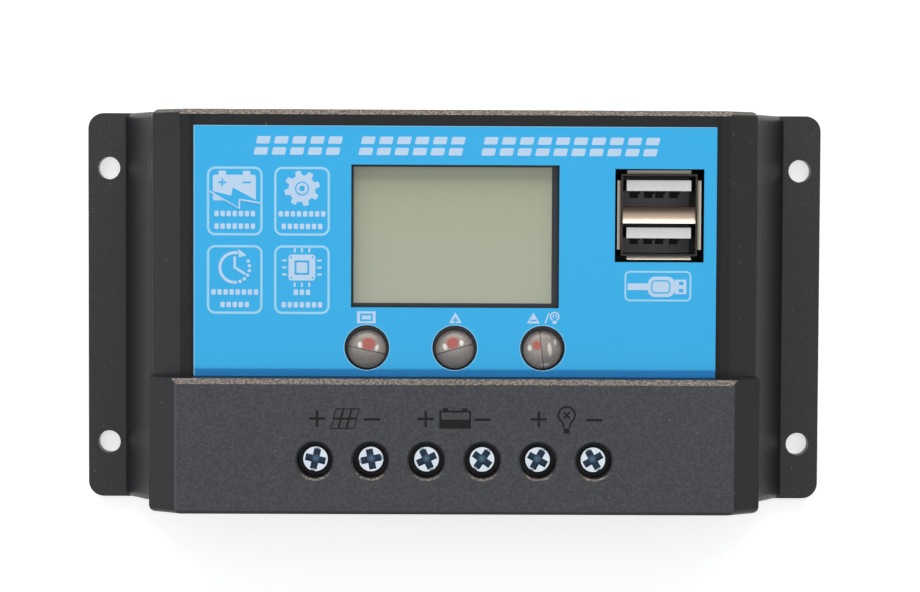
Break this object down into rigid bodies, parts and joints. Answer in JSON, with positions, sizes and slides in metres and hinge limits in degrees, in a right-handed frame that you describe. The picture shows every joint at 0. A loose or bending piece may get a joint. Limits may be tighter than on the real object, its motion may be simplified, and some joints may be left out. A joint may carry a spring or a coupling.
{
  "type": "solar charge controller",
  "caption": "Wall-mounted solar charge controller: flanged black case, blue face label, display, push buttons, twin charging socket and a hooded screw-terminal strip.",
  "frame": {"origin": "centre of the case's back face, on the wall plane", "axes": "+X along the case's length to the socket side, +Y up the face away from the terminals, +Z out of the face"},
  "size_m": [0.1334, 0.07, 0.035],
  "materials": {
    "black_abs": "moulded black ABS with a fine spark-eroded grain",
    "black_cover": "moulded black ABS, plain",
    "label_film": "blue back-printed polycarbonate film, satin",
    "clear_cap": "clear moulded polycarbonate",
    "red_stem": "red moulded nylon",
    "switch_plastic": "black moulded nylon",
    "lcd_glass": "display cell glass",
    "lcd_film": "grey-green polariser film",
    "light_guide": "milky acrylic",
    "white_plastic": "white moulded plastic",
    "elastomer": "layered grey silicone",
    "circuit_board": "green solder mask on glass epoxy",
    "case_screw": "black zinc steel",
    "zinc_screw": "bright zinc-plated steel",
    "cage_steel": "nickel-plated steel",
    "tinned_copper": "tinned copper",
    "socket_steel": "nickel-plated sheet steel",
    "gold_contact": "gold-flashed contact",
    "terminal_nylon": "black moulded nylon",
    "aluminium": "mill finish aluminium",
    "transistor": "black moulded epoxy with tinned legs",
    "chip": "black moulded epoxy",
    "capacitor": "black shrink sleeve on aluminium",
    "ferrite": "grey ferrite",
    "copper_wire": "enamelled copper",
    "fuse": "orange translucent plastic with tinned blades",
    "copper_alloy": "manganese copper strip"
  },
  "bodies": {
    "case": {"front_housing": "black_abs", "rear_cover": "black_cover", "rear_cover_screws": "case_screw", "face_label": "label_film", "switch_bases": "switch_plastic", "switch_lids": "cage_steel", "switch_domes": "cage_steel", "lcd_glass": "lcd_glass", "lcd_polariser": "lcd_film", "lcd_light_guide": "light_guide", "lcd_frame": "white_plastic", "lcd_contact_strips": "elastomer", "backlight_led": "white_plastic", "display_board": "circuit_board", "display_board_screws": "zinc_screw", "header_pins": "gold_contact", "board_header": "switch_plastic", "board_socket": "switch_plastic", "microcontroller": "chip", "power_board": "circuit_board", "power_board_screws": "zinc_screw", "terminal_block": "terminal_nylon", "terminal_contacts": "tinned_copper", "usb_shell": "socket_steel", "usb_divider": "socket_steel", "usb_insulator": "white_plastic", "usb_contacts": "gold_contact", "heat_sink": "aluminium", "mosfets": "transistor", "mosfet_screws": "zinc_screw", "capacitors": "capacitor", "inductor_core": "ferrite", "inductor_coil": "copper_wire", "fuse": "fuse", "surge_suppressor": "chip", "current_shunt": "copper_alloy", "regulator": "chip"},
    "menu_button_body": {"menu_button": "clear_cap", "menu_stem": "red_stem"},
    "up_button_body": {"up_button": "clear_cap", "up_stem": "red_stem"},
    "down_button_body": {"down_button": "clear_cap", "down_stem": "red_stem"},
    "solar_plus_screw_body": {"solar_plus_screw": "zinc_screw"},
    "solar_plus_clamp_body": {"solar_plus_clamp": "cage_steel"},
    "solar_minus_screw_body": {"solar_minus_screw": "zinc_screw"},
    "solar_minus_clamp_body": {"solar_minus_clamp": "cage_steel"},
    "battery_plus_screw_body": {"battery_plus_screw": "zinc_screw"},
    "battery_plus_clamp_body": {"battery_plus_clamp": "cage_steel"},
    "battery_minus_screw_body": {"battery_minus_screw": "zinc_screw"},
    "battery_minus_clamp_body": {"battery_minus_clamp": "cage_steel"},
    "load_plus_screw_body": {"load_plus_screw": "zinc_screw"},
    "load_plus_clamp_body": {"load_plus_clamp": "cage_steel"},
    "load_minus_screw_body": {"load_minus_screw": "zinc_screw"},
    "load_minus_clamp_body": {"load_minus_clamp": "cage_steel"}
  },
  "joints": [
    {"name": "menu_press", "type": "slide", "parent": "case", "child": "menu_button_body", "axis": [0, 0, -1], "range_m": [0, 0.0003], "stiffness_N_per_m": 400, "springref_m": -0.002},
    {"name": "up_press", "type": "slide", "parent": "case", "child": "up_button_body", "axis": [0, 0, -1], "range_m": [0, 0.0003], "stiffness_N_per_m": 400, "springref_m": -0.002},
    {"name": "down_press", "type": "slide", "parent": "case", "child": "down_button_body", "axis": [0, 0, -1], "range_m": [0, 0.0003], "stiffness_N_per_m": 400, "springref_m": -0.002},
    {"name": "solar_plus_clamp_rise", "type": "slide", "parent": "case", "child": "solar_plus_clamp_body", "axis": [0, 0, 1], "range_m": [0, 0.0045]},
    {"name": "solar_plus_screw_turn", "type": "hinge", "parent": "case", "child": "solar_plus_screw_body", "pos_m": [-0.02375, -0.0248, 0.03], "axis": [0, 0, -1], "range_deg": [0, 3242]},
    {"name": "solar_minus_clamp_rise", "type": "slide", "parent": "case", "child": "solar_minus_clamp_body", "axis": [0, 0, 1], "range_m": [0, 0.0045]},
    {"name": "solar_minus_screw_turn", "type": "hinge", "parent": "case", "child": "solar_minus_screw_body", "pos_m": [-0.01425, -0.0248, 0.03], "axis": [0, 0, -1], "range_deg": [0, 3242]},
    {"name": "battery_plus_clamp_rise", "type": "slide", "parent": "case", "child": "battery_plus_clamp_body", "axis": [0, 0, 1], "range_m": [0, 0.0045]},
    {"name": "battery_plus_screw_turn", "type": "hinge", "parent": "case", "child": "battery_plus_screw_body", "pos_m": [-0.00475, -0.0248, 0.03], "axis": [0, 0, -1], "range_deg": [0, 3242]},
    {"name": "battery_minus_clamp_rise", "type": "slide", "parent": "case", "child": "battery_minus_clamp_body", "axis": [0, 0, 1], "range_m": [0, 0.0045]},
    {"name": "battery_minus_screw_turn", "type": "hinge", "parent": "case", "child": "battery_minus_screw_body", "pos_m": [0.00475, -0.0248, 0.03], "axis": [0, 0, -1], "range_deg": [0, 3242]},
    {"name": "load_plus_clamp_rise", "type": "slide", "parent": "case", "child": "load_plus_clamp_body", "axis": [0, 0, 1], "range_m": [0, 0.0045]},
    {"name": "load_plus_screw_turn", "type": "hinge", "parent": "case", "child": "load_plus_screw_body", "pos_m": [0.01425, -0.0248, 0.03], "axis": [0, 0, -1], "range_deg": [0, 3242]},
    {"name": "load_minus_clamp_rise", "type": "slide", "parent": "case", "child": "load_minus_clamp_body", "axis": [0, 0, 1], "range_m": [0, 0.0045]},
    {"name": "load_minus_screw_turn", "type": "hinge", "parent": "case", "child": "load_minus_screw_body", "pos_m": [0.02375, -0.0248, 0.03], "axis": [0, 0, -1], "range_deg": [0, 3242]}
  ],
  "couplings": [
    {"joint": "solar_plus_screw_turn", "follows": "solar_plus_clamp_rise", "rad_per_m": 12566},
    {"joint": "solar_minus_screw_turn", "follows": "solar_minus_clamp_rise", "rad_per_m": 12566},
    {"joint": "battery_plus_screw_turn", "follows": "battery_plus_clamp_rise", "rad_per_m": 12566},
    {"joint": "battery_minus_screw_turn", "follows": "battery_minus_clamp_rise", "rad_per_m": 12566},
    {"joint": "load_plus_screw_turn", "follows": "load_plus_clamp_rise", "rad_per_m": 12566},
    {"joint": "load_minus_screw_turn", "follows": "load_minus_clamp_rise", "rad_per_m": 12566}
  ]
}
